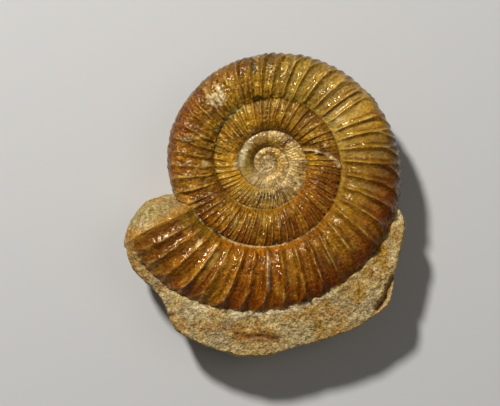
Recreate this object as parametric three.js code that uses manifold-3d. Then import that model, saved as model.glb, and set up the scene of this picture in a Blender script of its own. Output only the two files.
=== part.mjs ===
// An ammonite of the Perisphinctes kind, still bedded in a rim of its limestone. Millimetres, +Z up.
// The coil lies face up. Angles are in degrees, anticlockwise from +X. A turn angle goes on counting past
// 360, from the mouth in towards the middle, so one number says where on the spiral a point lies.
import * as THREE from "three";
import { mergeVertices } from "three/addons/utils/BufferGeometryUtils.js";
import Module from "manifold-3d";

// Driving dimensions of the coil
const mouthAngle = 209; // turn angle of the mouth
const turnCount = 4; // whorls from the mouth to the worn middle
const firstQuarter = 90; // turn angle of the first radius below
const quarterRadii = [ // outer radius at each quarter turn
  33, 34.3, 31.3, 27.1, 22.5, 20.5, 18.8, 16.6, 14.8, 12.2, 10.3, 9.05, 7.65, 6.75, 5.6, 4.8, 3.9, 3.2,
];
const quarterShrink = 0.85; // share of the radius that each further quarter turn keeps
const overlap = 0.89; // a whorl covers the one inside it down to this share of its radius
const plumpness = 0.43; // half thickness of a whorl as a share of its height
const widestAt = 0.42; // share of the whorl height, from its seam, where it is thickest
const wallPower = 3; // how steeply the wall rises from the seam
const backPower = 2.4; // how square the outer half of the section is
const middleHeight = 0.5; // half thickness of the worn middle

// Ribs: number of the rib at a turn angle, measured half way up the flank
const ribMarks = [
  [216, 0], [237.5, 3], [269.7, 7], [304, 11], [324.5, 13], [369, 18], [408.5, 23], [446, 27], [470, 30],
  [508, 35], [568, 42], [617, 52], [669, 61], [720, 70.5], [749, 75], [826, 84], [926, 97],
  [1286, 162], [1646, 195],
];
const ribRise = 0.17; // height of a rib as a share of the way to the next one
const ribSharpness = 1.6;
const ribLean = 7.2; // degrees that a rib sweeps forward from the seam to the back of the whorl
const leanPower = 3.2; // how late on the flank it does so
const mouthLeanPower = 1.3; // the same for the ribs next to the mouth
const mouthRibsEnd = [222, 238]; // turn angles between which that gives way to the usual lean
const forkFrom = 1.35; // place on the section where a rib forks, and where its two branches stand apart
const forkTo = 1.75;
const fullFrom = 0.35; // place on the section from which a rib has its full height
const lowerFrom = [1.5, 1.9]; // places between which it sinks to its height on the back
const backRelief = 0.65; // share of a rib's height left on the back of the whorl

// Rows of the mesh, as shares of the visible flank from its covered line down to its seam
const upperRows = [0, 0.25, 0.55, 0.8];
const lowerRows = [0, 0.4, 0.75];
const coveredStep = 2.4; // points of the mouth's rim to each point of the covered end

// Driving dimensions of the stone
const bedDepth = 10.6; // height of the coil's middle plane over the flat underside
const gap = 0.3; // clearance between the stone and the fossil
const outline = [ // plan of the stone about the middle of the coil, from the mouth round by the bottom
  [-21.2, -6.6], [-26, -9], [-29, -13.8], [-28.2, -18.3], [-27.2, -22.2], [-22.4, -27], [-20.4, -31],
  [-18.6, -34.4], [-13.6, -37.2], [-7, -39.3], [-1.5, -39.8], [4.5, -38.4], [11, -36.4], [18.6, -33.8],
  [24.2, -29.5], [25.6, -25], [27.2, -18.5], [28.3, -12.5], [26.6, -8.6], [22.5, -1], [16.5, 7], [8, 12.5],
  [-1, 14.5], [-10, 11.5], [-16, 6], [-19.3, -1.5],
];
const outlineStations = 78;
const floorShare = 0.8; // how far out the flat underside reaches
const sideShare = 0.955; // and how far out its sides stand a third of the way up
const rimHeight = 1; // height of the stone's edge over the middle plane
const rimRound = 0.7; // how far the edge is worn round
const contactShare = 0.985; // where the stone meets the shell: share of the outer radius
const contactRise = 0.42; // and its height there, as a share of the whorl's half thickness
const sunkShare = 0.85; // where it ends under the bare part of the shell: share of its reach
const sunkDepth = 0.75; // and its depth there, as a share of the whorl's half thickness
const lumpSize = 0.45; // size of the lumps and hollows
const fillLength = 11; // degrees that the mouth's filling stands out past the shell
const fillGap = 0.9; // degrees between the mouth and its filling
const clearStations = 48; // sections of the clearance cut round the shell
const stepFrom = 1.06; // where the clearance steps down under a whorl: shares of the radii of its two seams
const stepTo = 0.99;
const endsApart = 0.05; // keeps the clearance's first and last sections from touching

const mix = THREE.MathUtils.lerp;
const eased = THREE.MathUtils.smoothstep;
const radians = THREE.MathUtils.degToRad;

// The value at x of a line through sorted [x, value] marks, which goes on straight past its ends
function along(marks, x, from = 0, to = 1) {
  let i = 1;
  while (i < marks.length - 1 && marks[i][from] < x) i += 1;
  const [a, b] = [marks[i - 1], marks[i]];
  return a[to] + ((b[to] - a[to]) * (x - a[from])) / (b[from] - a[from]);
}
const ribNumber = (turn) => along(ribMarks, turn);
const ribTurn = (number) => along(ribMarks, number, 1, 0);

// The spiral: a smooth curve through the logarithms of the quarter radii
function quarterLog(i) {
  const last = quarterRadii.length - 1;
  return Math.log(quarterRadii[Math.min(i, last)]) + Math.max(i - last, 0) * Math.log(quarterShrink);
}
function outerRadius(turn) {
  const place = (turn - firstQuarter) / 90;
  const i = Math.floor(place);
  const s = place - i;
  const [a, b, c, d] = [-1, 0, 1, 2].map((step) => quarterLog(i + step));
  return Math.exp(b + 0.5 * s * (c - a + s * (2 * a - 5 * b + 4 * c - d + s * (3 * (b - c) + d - a))));
}
const seamRadius = (turn) => overlap * outerRadius(turn + 360);
const widestRadius = (turn) => mix(seamRadius(turn), outerRadius(turn), widestAt);
const halfThickness = (turn) => plumpness * (outerRadius(turn) - seamRadius(turn));

// Half of a whorl's section, as radius and height. Place 0 is the seam, 1 the thickest point and 2 the back.
function coveredPlace(turn) {
  const widest = widestRadius(turn);
  const reach = (overlap * outerRadius(turn) - widest) / (outerRadius(turn) - widest);
  return 1 + Math.asin(reach ** (backPower / 2)) / (Math.PI / 2);
}
function section(turn, place) {
  if (place < 1) {
    const foot = section(turn + 360, coveredPlace(turn + 360))[1];
    const rise = 1 - (1 - place) ** wallPower;
    return [mix(seamRadius(turn), widestRadius(turn), place), mix(foot, halfThickness(turn), rise)];
  }
  const a = ((place - 1) * Math.PI) / 2;
  const out = Math.sin(a) ** (2 / backPower);
  const up = Math.max(Math.cos(a), 0) ** (2 / backPower);
  return [mix(widestRadius(turn), outerRadius(turn), out), halfThickness(turn) * up];
}

// Height of the ribs over the plain whorl
function lean(turn, place) {
  const power = mix(mouthLeanPower, leanPower, eased(turn, ...mouthRibsEnd));
  return ribLean * (place / 2) ** power;
}
function crestHeight(turn, place, radius) {
  const spacing = radians(16 / (ribNumber(turn + 8) - ribNumber(turn - 8)));
  return ribRise * radius * spacing * mix(1, backRelief, eased(place, ...lowerFrom));
}
function ribHeight(turn, place, radius) {
  const number = ribNumber(turn + lean(turn, place));
  const away = Math.abs(number - Math.round(number));
  const fork = 0.25 * eased(place, forkFrom, forkTo);
  const outside = (1 - (away - fork) / (0.5 - fork)) ** ribSharpness;
  const between = 1 - (1 - (away / fork) ** ribSharpness) * (fork / 0.25);
  return crestHeight(turn, place, radius) * eased(place, 0, fullFrom) * (away >= fork ? outside : between);
}

// A point out from the plain whorl by a lift, as radius and height, and one on the ribbed surface
function lifted(turn, place, lift) {
  const nudge = 0.01;
  const [radius, height] = section(turn, place);
  const [r0, z0] = section(turn, Math.max(place - nudge, 0));
  const [r1, z1] = section(turn, Math.min(place + nudge, 2));
  const length = Math.hypot(r1 - r0, z1 - z0);
  return [radius + (lift * (z0 - z1)) / length, place < 2 ? height + (lift * (r1 - r0)) / length : 0];
}
const polar = (turn, r, z) => [r * Math.cos(radians(turn)), r * Math.sin(radians(turn)), z];
function shellPoint(turn, place, side) {
  const [r, z] = lifted(turn, place, ribHeight(turn, place, section(turn, place)[0]));
  return polar(turn, r, side * z);
}

// A closed body under construction: a list of points and a list of triangles
class Body {
  points = [];
  faces = [];
  add(point) {
    this.points.push(...point);
    return this.points.length / 3 - 1;
  }
  face(a, b, c, turned) {
    this.faces.push(...(turned ? [a, c, b] : [a, b, c]));
  }
  // Triangles between two rows of { at, id }, each sorted by at
  stitch(one, two, turned) {
    let [i, j] = [0, 0];
    while (i < one.length - 1 || j < two.length - 1) {
      const first = j === two.length - 1 || (i < one.length - 1 && one[i + 1].at < two[j + 1].at);
      if (first) this.face(one[i].id, one[i + 1].id, two[j].id, turned);
      else this.face(one[i].id, two[j + 1].id, two[j].id, turned);
      if (first) i += 1;
      else j += 1;
    }
  }
  // One shape with its shared points merged and the triangles that this flattens left out
  geometry() {
    const loose = new THREE.BufferGeometry();
    loose.setAttribute("position", new THREE.Float32BufferAttribute(this.points, 3));
    loose.setIndex(this.faces);
    const shape = mergeVertices(loose, 1e-4);
    const [from, kept] = [shape.index.array, []];
    for (let i = 0; i < from.length; i += 3) {
      const [a, b, c] = from.slice(i, i + 3);
      if (a !== b && b !== c && c !== a) kept.push(a, b, c);
    }
    shape.setIndex(kept);
    return shape;
  }
}

// A row along one turn of the spiral, with a point on each rib's crest and in each hollow between
function ribRow(body, turnIndex, share, side, step = 0.5, outward = 0) {
  const start = mouthAngle + 360 * turnIndex;
  const placeAt = (turn) => mix(coveredPlace(turn) * (1 - share), 2, outward);
  const row = [start];
  for (let n = Math.ceil(ribNumber(start - 9) / step) * step; ribTurn(n) < start + 370; n += step) {
    const turn = ribTurn(n) - lean(ribTurn(n), placeAt(ribTurn(n)));
    if (turn > start + 1 && turn < start + 359) row.push(turn);
  }
  row.push(start + 360);
  return row.map((turn) => ({ at: turn - start, id: body.add(shellPoint(turn, placeAt(turn), side)) }));
}

function shellSide(body, side) {
  const shares = side > 0 ? upperRows : lowerRows;
  const turned = side < 0;
  const turns = [];
  for (let k = 0; k < turnCount; k += 1) turns.push(shares.map((share) => ribRow(body, k, share, side)));
  turns.forEach((rows, k) => {
    const inner = k + 1 < turnCount ? [turns[k + 1][0]] : [];
    const all = [...rows, ...inner];
    for (let i = 0; i + 1 < all.length; i += 1) body.stitch(all[i], all[i + 1], turned);
  });

  // Over the back of the last whorl, where the ribs are forked
  const shoulder = ribRow(body, 0, 0, side, 0.25, 0.5);
  const back = ribRow(body, 0, 0, side, 0.25, 1);
  body.stitch(shoulder, turns[0][0], turned);
  body.stitch(back, shoulder, turned);

  // The mouth, between the last whorl's section and the back of the whorl inside it
  const start = (row, i) => ({ at: i, id: row[0].id });
  const rim = [back, shoulder, ...turns[0], turns[1][0]].map(start);
  const end = (row, i) => ({ at: coveredStep * i, id: row[row.length - 1].id });
  const covered = [back, shoulder, turns[0][0]].map(end);
  body.stitch(rim, covered, turned);

  // The worn middle, inside the last row and the cut end of the spiral
  const centre = body.add([0, 0, side * middleHeight]);
  const innermost = turns[turnCount - 1];
  const loop = innermost[innermost.length - 1].map(({ id }) => id);
  for (let i = innermost.length - 2; i >= 0; i -= 1) loop.push(innermost[i][innermost[i].length - 1].id);
  loop.forEach((id, i) => body.face(id, loop[(i + 1) % loop.length], centre, turned));
}

function ammoniteGeometry() {
  const body = new Body();
  shellSide(body, 1);
  shellSide(body, -1);
  return body.geometry();
}

// A closed body through rings of points, each end closed by a fan to a point of its own
function loft(rings, endPoints) {
  const body = new Body();
  const rows = rings.map((ring) => ring.map((point, i) => ({ at: i, id: body.add(point) })));
  rows.forEach((row) => row.push({ ...row[0], at: row.length }));
  for (let i = 0; i + 1 < rows.length; i += 1) body.stitch(rows[i], rows[i + 1], false);
  endPoints.forEach((point, end) => {
    const centre = body.add(point);
    const row = end ? rows[rows.length - 1] : rows[0];
    for (let i = 0; i + 1 < row.length; i += 1) body.face(row[i].id, row[i + 1].id, centre, end === 0);
  });
  return body.geometry();
}

// The block of limestone before the shell's place is cut in it, about the coil's middle plane
function lump(i, ring) {
  return lumpSize * (0.6 * Math.sin(2.1 * i + 1.7 * ring) + 0.4 * Math.sin(4.7 * i - 2.3 * ring));
}
function blockGeometry() {
  const curve = new THREE.CatmullRomCurve3(outline.map(([x, y]) => new THREE.Vector3(x, y, 0)), true);
  const edge = curve.getSpacedPoints(outlineStations).slice(0, -1);
  const profiles = edge.map(({ x, y }, i) => {
    const reach = Math.hypot(x, y);
    const angle = THREE.MathUtils.radToDeg(Math.atan2(y, x));
    const turn = mouthAngle + THREE.MathUtils.euclideanModulo(angle - mouthAngle, 360);
    const [outer, half] = [outerRadius(turn), halfThickness(turn)];
    const open = eased(reach - outer, -1.5, 1.5); // 0 where the stone's edge is under the shell
    const rim = mix(-sunkDepth * half, rimHeight, open);
    const contact = mix(sunkShare * reach, contactShare * outer, open);
    const heights = [
      [floorShare * reach, -bedDepth],
      [sideShare * reach, mix(-bedDepth, rim, 0.3)],
      [reach, mix(-bedDepth, rim, 0.66)],
      [reach - rimRound, rim],
      [mix(reach, contact, 0.55), mix(rim, contactRise * half, 0.75 * open)],
      [contact, mix(rim + 1, contactRise * half, open)],
      [sunkShare * sunkShare * Math.min(outer, reach), 0],
    ];
    return heights.map(([r, z], ring) => {
      const rough = ring > 0 && ring < 5 ? lump(i, ring) : 0;
      return polar(angle, r + (ring < 3 ? rough : 0) - 0.3 * Math.abs(rough), z + (ring > 2 ? rough : 0));
    });
  });
  const rings = profiles[0].map((unused, ring) => profiles.map((profile) => profile[ring]));
  return loft(rings, [[0, 0, -bedDepth], [0, 0, 0]]);
}

// The sediment that fills the mouth and stands out of it as a rounded end
function fillGeometry() {
  const upper = [0, 0.3, 0.7, 1, 1.3, 1.55, 1.8].map((place) => section(mouthAngle, place));
  const lower = upper.map(([r, z]) => [r, -z]).reverse();
  const ring = [...upper, section(mouthAngle, 2), ...lower];
  const centre = widestRadius(mouthAngle);
  const stations = [0.94, 0.8, 0.6, 0.35, 0, -0.15];
  const rings = stations.map((s) => {
    const scale = Math.sqrt(1 - Math.max(s, 0) ** 2);
    return ring.map(([r, z]) => polar(mouthAngle - fillLength * s, mix(centre, r, scale), z * scale));
  });
  const end = (s) => polar(mouthAngle - fillLength * s, centre, 0);
  return loft(rings, [end(1), end(stations[5])]);
}

// The room that the shell takes in the stone, a gap wider all round than its ribs
function clearanceGeometry() {
  const body = new Body();
  const depth = (turn) => halfThickness(turn) + crestHeight(turn, 1, widestRadius(turn)) + gap;
  const under = [0, 0, -depth(mouthAngle + 1080)];
  const over = [0, 0, depth(mouthAngle)];
  const rows = [];
  for (let i = 0; i <= clearStations; i += 1) {
    const turn = mouthAngle - fillGap + (360 * i) / clearStations;
    const clear = (place) => lifted(turn, place, crestHeight(turn, place, outerRadius(turn)) + gap);
    const out = (places, side) => places.map(clear).map(([r, z]) => [r, side * z]);
    const steps = [2, 1].flatMap((inward) => {
      const low = -depth(turn + 360 * inward) - endsApart * inward;
      const from = stepFrom * seamRadius(turn + 360 * inward);
      const to = stepTo * seamRadius(turn + 360 * (inward - 1));
      return [[from, low], [to, low]];
    });
    const profile = [...steps, ...out([0.15, 0.5, 0.9, 1.2, 1.5, 1.75], -1), ...out([2, 1.75, 1.5, 1.1], 1)];
    const points = [under, ...profile.map(([r, z]) => polar(turn, r, z)), over];
    rows.push(points.map((point, at) => ({ at, id: body.add(point) })));
  }
  for (let i = 0; i < clearStations; i += 1) body.stitch(rows[i], rows[i + 1], true);
  body.stitch(rows[clearStations], rows[0], true);
  return body.geometry();
}

const { solidOf, geometryOf } = await (async () => {
  const wasm = await Module();
  wasm.setup();
  return {
    solidOf(shape) {
      const mesh = new wasm.Mesh({
        numProp: 3,
        vertProperties: new Float32Array(shape.attributes.position.array),
        triVerts: new Uint32Array(shape.index.array),
      });
      return new wasm.Manifold(mesh);
    },
    geometryOf(solid) {
      const mesh = solid.getMesh();
      const shape = new THREE.BufferGeometry();
      shape.setAttribute("position", new THREE.BufferAttribute(new Float32Array(mesh.vertProperties), 3));
      shape.setIndex(Array.from(mesh.triVerts));
      return shape;
    },
  };
})();

function named(name, shape, color, roughness) {
  shape.computeVertexNormals();
  const material = new THREE.MeshStandardMaterial({ color, roughness, metalness: 0 });
  const mesh = new THREE.Mesh(shape, material);
  mesh.name = name;
  return mesh;
}

const block = solidOf(blockGeometry()).add(solidOf(fillGeometry()));
const stone = block.subtract(solidOf(clearanceGeometry()));

const group = new THREE.Group();
group.add(named("ammonite", ammoniteGeometry(), 0x8a5a1e, 0.35));
group.add(named("matrix", geometryOf(stone), 0xa08450, 0.95));
const box = new THREE.Box3().setFromObject(group);
group.position.set(-(box.min.x + box.max.x) / 2, -(box.min.y + box.max.y) / 2, -box.min.z);
export default group;
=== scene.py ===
# An ammonite of the Perisphinctes kind, lying face up in the rest of its limestone.
# The shell grows along the same spiral as the plain solid, at a finer step, with every rib's own wear.
import math

import bpy
import numpy as np
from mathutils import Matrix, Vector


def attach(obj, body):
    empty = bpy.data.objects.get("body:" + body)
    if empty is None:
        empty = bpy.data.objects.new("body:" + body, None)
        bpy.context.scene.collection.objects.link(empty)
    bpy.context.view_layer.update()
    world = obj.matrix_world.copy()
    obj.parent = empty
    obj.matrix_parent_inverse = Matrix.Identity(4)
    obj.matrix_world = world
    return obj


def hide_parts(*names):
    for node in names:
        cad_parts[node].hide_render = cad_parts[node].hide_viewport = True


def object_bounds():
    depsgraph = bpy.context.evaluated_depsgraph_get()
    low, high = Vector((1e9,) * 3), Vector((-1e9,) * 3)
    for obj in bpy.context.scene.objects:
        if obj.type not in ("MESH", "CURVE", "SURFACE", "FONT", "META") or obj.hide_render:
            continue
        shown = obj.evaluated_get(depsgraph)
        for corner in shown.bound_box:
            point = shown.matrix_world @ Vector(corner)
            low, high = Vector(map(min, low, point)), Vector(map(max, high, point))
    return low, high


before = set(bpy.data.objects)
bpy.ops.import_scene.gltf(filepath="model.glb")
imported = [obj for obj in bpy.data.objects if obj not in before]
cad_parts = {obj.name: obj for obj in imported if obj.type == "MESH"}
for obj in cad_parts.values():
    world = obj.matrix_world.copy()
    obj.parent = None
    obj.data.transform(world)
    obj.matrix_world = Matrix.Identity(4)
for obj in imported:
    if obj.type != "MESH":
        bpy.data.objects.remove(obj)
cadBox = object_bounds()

mm = 0.001
rng = np.random.default_rng(41)

# The palette, as screen colours from 0 to 255
tones = {
    "honey": (150, 106, 26),
    "gold": (180, 134, 38),
    "brass": (170, 138, 52),
    "amber": (156, 95, 16),
    "umber": (104, 60, 14),
    "rust": (126, 58, 6),
    "dark": (50, 22, 3),
    "olive": (118, 94, 24),
    "moss": (42, 44, 8),
    "bone": (214, 190, 140),
    "chalk": (240, 226, 188),
    "straw": (196, 160, 74),
    "buff": (203, 173, 112),
    "ochre": (184, 132, 50),
    "ash": (186, 170, 136),
    "cream": (158, 137, 87),
    "stain": (128, 74, 22),
    "sage": (164, 160, 100),
    "bark": (78, 40, 10),
}


def tone(name):  # as linear light, by the screen's own curve
    share = np.array(tones[name]) / 255
    return np.where(share < 0.04045, share / 12.92, ((share + 0.055) / 1.055) ** 2.4)


def mix(a, b, share):
    return a + (b - a) * share


def smooth(value, low, high):
    share = np.clip((value - low) / (high - low), 0, 1)
    return share * share * (3 - 2 * share)


def blend(colours, name, share):
    return mix(colours, tone(name), np.clip(share, 0, 1)[:, None])


def valueAt(where, marks):  # read off between marks, each a place and its value
    return np.interp(where, *zip(*marks))


def window(value, start, full, fade, end):  # 1 from full to fade, and 0 outside start and end
    return smooth(value, start, full) * (1 - smooth(value, fade, end))


def curveAt(s, a, b, c, d):  # a share s of the way from b to c, on a smooth curve through all four
    return b + 0.5 * s * (c - a + s * (2 * a - 5 * b + 4 * c - d + s * (3 * (b - c) + d - a)))


def bearingOf(points):
    return np.degrees(np.arctan2(points[:, 1], points[:, 0]))


# Soft lumps about `size` mm across, from -1 to 1, the same on every run
noiseCount = 8192   # a power of two
noiseApart = 7.3    # keeps one layer of lumps from lining up with the next
noiseValues = rng.random(noiseCount) * 2 - 1
noisePrimes = np.array([73856093, 19349663, 83492791])


def lumps(points, size, shift=0.0):
    place = points / size + shift
    cell = np.floor(place).astype(np.int64)
    part = place - cell
    part = part * part * (3 - 2 * part)
    total = np.zeros(len(points))
    for corner in np.ndindex(2, 2, 2):
        weight = np.prod(np.where(np.array(corner) > 0, part, 1 - part), axis=1)
        key = (cell + corner) * noisePrimes
        total += weight * noiseValues[(key[:, 0] ^ key[:, 1] ^ key[:, 2]) & (noiseCount - 1)]
    return total


def roughLumps(points, size, layers=4, keep=0.55, shift=0.0):
    total, weight, full = 0, 1, 0
    for layer in range(layers):
        total = total + weight * lumps(points, size / 2**layer, shift + noiseApart * layer)
        full += weight
        weight *= keep
    return total / full


# The coil: angles in degrees, anticlockwise, counted on past 360 from the mouth in to the middle
coil = {
    "middle": np.array([0.712, 8.508, 10.6]),  # in the frame, mm
    "mouth": 209,
    "firstQuarter": 90,   # turn angle of the first radius
    "radii": np.array([33, 34.3, 31.3, 27.1, 22.5, 20.5, 18.8, 16.6, 14.8, 12.2, 10.3, 9.05, 7.65, 6.75,
                       5.6, 4.8, 3.9, 3.2]),  # at each quarter turn
    "shrink": 0.85,       # share of the radius that each further quarter turn keeps
    "overlap": 0.89,      # a whorl covers the one inside it down to this share of its radius
    "plumpness": 0.43,    # half thickness as a share of the whorl's height
    "widestAt": 0.42,     # share of that height, from the seam, where it is thickest
    "wallPower": 3,       # how steeply the wall rises from the seam
    "backPower": 2.4,     # how square the outer half of the section is
    "middleHeight": 0.3,  # half thickness of the worn middle
    "stoneEdge": [  # angle, share of the shell's radius where the stone starts
        (205, 0.96), (212, 0.966), (216, 0.98), (221, 0.99), (235, 0.99), (243, 0.985), (255, 0.975),
        (279, 0.964), (299, 0.967), (319, 0.99), (345, 1.0),
    ],
}
ribs = {
    "marks": [  # turn angle, number of the rib there
        (216, 0), (237.5, 3), (269.7, 7), (304, 11), (324.5, 13), (369, 18), (408.5, 23), (446, 27),
        (470, 30), (508, 35), (568, 42), (617, 52), (669, 61), (720, 70.5), (749, 75), (826, 84),
        (926, 97), (1286, 162), (1646, 195),
    ],
    "beyond": 120,        # room for more of them past the last mark
    "rise": [  # turn angle, height as a share of the way to the next rib
        (330, 0.22), (380, 0.25), (470, 0.24), (540, 0.2), (600, 0.24), (900, 0.27), (1040, 0.28),
        (1090, 0.15), (1160, 0.1), (1260, 0.07), (1700, 0.05),
    ],
    "width": [(209, 0.27), (236, 0.24), (252, 0.18), (270, 0.15)],  # angle, half width of a crest, in ribs
    "branchWidth": 0.11,  # of each branch past the fork
    "crestPower": 1.5,    # how blunt a crest is
    "steeper": 0.88,      # share of its width that the side towards the mouth has
    "swell": 0.22,        # share of the height that is a wide swell under the crest
    "foot": (0.02, 0.32),        # places between which it rises from the seam
    "lean": 7.2,                 # degrees that a rib sweeps forward from the seam to the back
    "leanPower": 3.2,            # how late on the flank it does so
    "mouthLeanPower": 1.3,       # the same by the mouth
    "mouthRibsEnd": (222, 238),  # turn angles between which this gives way
    "fork": 1.35,         # place where a rib forks
    "forkStray": 0.12,    # how much earlier or later a single one does
    "forkLength": 0.4,    # from there to where its branches stand apart
    "split": 0.25,        # how far each branch then stands from the middle, in ribs
    "splitStray": 0.03,
    "backRelief": [  # turn angle, share of its height that a rib keeps on the back
        (209, 0.35), (240, 0.2), (335, 0.2), (350, 0.34), (385, 0.34), (400, 0.3),
    ],
    "backFrom": (1.3, 1.75),     # places between which it sinks to that
    "uneven": 0.16,       # how much one rib's height differs from the next
    "wander": 0.75,       # degrees that a rib strays from its line
    "joining": (21.2, 0.7, 0.45),  # a rib that runs into the next: its number, reach and shift, in ribs
}
wear = {
    "waves": 0.09,    # height of the wide unevenness, mm
    "grain": 0.06,    # of the fine one
    "streaks": 0.05,  # and of the streaks along the ribs
    "worn": [  # turn angle, height of the pits where the surface has gone, mm
        (470, 0), (490, 0.22), (560, 0.2), (575, 0), (820, 0), (840, 0.12), (880, 0.12), (900, 0),
    ],
    "broken": 0.55,   # how much a crest's height varies along it
    "strayed": 0.09,  # how far a rib stands from its even place, in ribs
    "crumbs": 0.15,   # height of the bits of stone left on the shell, mm
    "crumbsEnd": 344,         # turn angle where they end
    "flatRadii": (1.3, 2.5),  # radii between which the flat of the worn middle fades out
    "flatHeight": 0.55,
    "flatShare": 0.7,         # how flat it is
    "spots": [  # angle, radius, half length, half width, how much of the ribs is gone
        (125, 17.8, 4.5, 3.4, 0.75),
        (140, 20.5, 4.5, 2.5, 0.45),
        (172, 18.5, 4.5, 3.0, 0.45),
        (312, 26.5, 4.5, 2.0, 0.6),
        (97, 21.2, 1.6, 3.0, 0.7),
        (86, 7.2, 4.5, 2.6, 0.85),
        (125, 6.8, 4.5, 2.6, 0.9),
        (165, 6.6, 3.5, 2.2, 0.7),
        (60, 3.6, 2.5, 2.0, 0.6),
        (0, 0, 2.6, 2.6, 0.8),
    ],
}
fold = {  # the oblique ridge that a halt in growth left on the second whorl, and the groove beside it
    "line": [(8.0, 740), (8.9, 737.8), (11.2, 731), (12.4, 728), (13.6, 723), (14.8, 718.5)],  # radius, turn
    "reach": (690, 760),  # turn angles that both lie between
    "width": 2.2,         # half width, degrees
    "rise": 0.65,         # mm
    "broken": 0.35,       # how uneven its height is
    "groove": 0.4,        # depth, mm
    "grooveAt": 6,        # degrees past the ridge
    "grooveWidth": 4.0,
}


def quarterLog(i):
    last = len(coil["radii"]) - 1
    return np.log(coil["radii"][np.minimum(i, last)]) + np.maximum(i - last, 0) * math.log(coil["shrink"])


def outerRadius(turn):
    place = (turn - coil["firstQuarter"]) / 90
    i = np.floor(place).astype(int)
    s = place - i
    return np.exp(curveAt(s, *(quarterLog(i + step) for step in (-1, 0, 1, 2))))


def seamRadius(turn):
    return coil["overlap"] * outerRadius(turn + 360)


def widestRadius(turn):
    return mix(seamRadius(turn), outerRadius(turn), coil["widestAt"])


def halfThickness(turn):
    return coil["plumpness"] * (outerRadius(turn) - seamRadius(turn))


def coveredPlace(turn):
    widest = widestRadius(turn)
    reach = (coil["overlap"] * outerRadius(turn) - widest) / (outerRadius(turn) - widest)
    return 1 + np.arcsin(reach ** (coil["backPower"] / 2)) / (math.pi / 2)


# Half of a whorl's section as radius and height: place 0 is the seam, 1 the thickest point, 2 the back
def outerSection(turn, place):
    a = np.clip(place - 1, 0, 1) * math.pi / 2
    out = np.sin(a) ** (2 / coil["backPower"])
    up = np.maximum(np.cos(a), 0) ** (2 / coil["backPower"])
    return mix(widestRadius(turn), outerRadius(turn), out), halfThickness(turn) * up


def section(turn, place):
    wall = np.minimum(place, 1)
    foot = outerSection(turn + 360, coveredPlace(turn + 360))[1]
    rise = 1 - (1 - wall) ** coil["wallPower"]
    radius = mix(seamRadius(turn), widestRadius(turn), wall)
    height = mix(foot, halfThickness(turn), rise)
    outRadius, outHeight = outerSection(turn, place)
    return np.where(place < 1, radius, outRadius), np.where(place < 1, height, outHeight)


def pastEdge(points):  # how far past the stone's inner edge, as a share of the shell's radius
    turn = coil["mouth"] + (bearingOf(points) - coil["mouth"]) % 360
    return np.hypot(points[:, 0], points[:, 1]) / outerRadius(turn) - valueAt(turn, coil["stoneEdge"])


markTurns, markNumbers = (np.array(column, float) for column in zip(*ribs["marks"]))


def ribNumber(turn):
    i = np.clip(np.searchsorted(markTurns, turn) - 1, 0, len(markTurns) - 2)
    slope = (markNumbers[i + 1] - markNumbers[i]) / (markTurns[i + 1] - markTurns[i])
    return markNumbers[i] + slope * (turn - markTurns[i])


ribCount = int(markNumbers[-1]) + ribs["beyond"]
ribHeights = 1 + ribs["uneven"] * rng.uniform(-1, 1, ribCount)
ribForks = ribs["fork"] + rng.uniform(-ribs["forkStray"], ribs["forkStray"], ribCount)
ribSplits = ribs["split"] + rng.uniform(-ribs["splitStray"], ribs["splitStray"], ribCount)
ribStrays = wear["strayed"] * rng.uniform(-1, 1, ribCount)
ribShades = rng.uniform(-1, 1, ribCount)


# A patch with a ragged edge: 1 in its middle, 0 outside it
def around(points, angle, radius, along, across, ragged=0.35):
    a = math.radians(angle)
    east, north = points[:, 0] - radius * math.cos(a), points[:, 1] - radius * math.sin(a)
    tangent = -east * math.sin(a) + north * math.cos(a)
    outward = east * math.cos(a) + north * math.sin(a)
    away = np.hypot(tangent / along, outward / across)
    away = away + ragged * roughLumps(points, 1.6, 3, shift=angle)
    return 1 - smooth(away, 0.45, 1.25)


def crest(distance, width):
    side = np.where(distance < 0, ribs["steeper"], 1)
    return np.exp(-((np.abs(distance) / (width * side)) ** ribs["crestPower"]))


def ribLean(turn, place):
    power = mix(ribs["mouthLeanPower"], ribs["leanPower"], smooth(turn, *ribs["mouthRibsEnd"]))
    return ribs["lean"] * ((place / 2) ** power - 0.5**power)


def ribLift(turn, place, plain):
    stray = ribs["wander"] * roughLumps(plain, 5.0, 2, shift=3.0)
    number = ribNumber(turn + ribLean(turn, place) + stray)
    number = number + np.interp(number, np.arange(ribCount), ribStrays)
    joining, reach, shift = ribs["joining"]
    number = number - shift * np.exp(-(((number - joining) / reach) ** 2)) * smooth(place, 0.4, 1.6)
    whole = np.rint(number).astype(int)  # a rib before the first mark takes its values from the lists' end
    off = number - whole
    fork = ribSplits[whole] * smooth(place, ribForks[whole], ribForks[whole] + ribs["forkLength"])
    width = mix(valueAt(turn, ribs["width"]), ribs["branchWidth"], fork / ribs["split"])
    sharp = np.maximum(crest(off - fork, width), crest(off + fork, width))
    swell = (1 - 2 * np.abs(off)) ** 2
    shape = mix(sharp, swell, ribs["swell"] * (1 - fork / ribs["split"]))
    aside = np.minimum(np.abs(off - fork), np.abs(off + fork)) / width  # crest half widths away
    span = 8  # degrees to either side that the spacing is taken over
    spacing = np.radians(2 * span / (ribNumber(turn + span) - ribNumber(turn - span)))
    radius = np.hypot(plain[:, 0], plain[:, 1])
    height = valueAt(turn, ribs["rise"]) * radius * spacing * ribHeights[whole]
    height = height * np.clip(1 + wear["broken"] * (roughLumps(plain, 2.2, 3, shift=11.0) - 0.25), 0.3, 1.1)
    height = height * mix(1, valueAt(turn, ribs["backRelief"]), smooth(place, *ribs["backFrom"]))
    height = height * smooth(place, *ribs["foot"])
    for angle, r, along, across, gone in wear["spots"]:
        height = height * (1 - gone * around(plain, angle, r, along, across))
    return height, shape, number, aside


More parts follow.
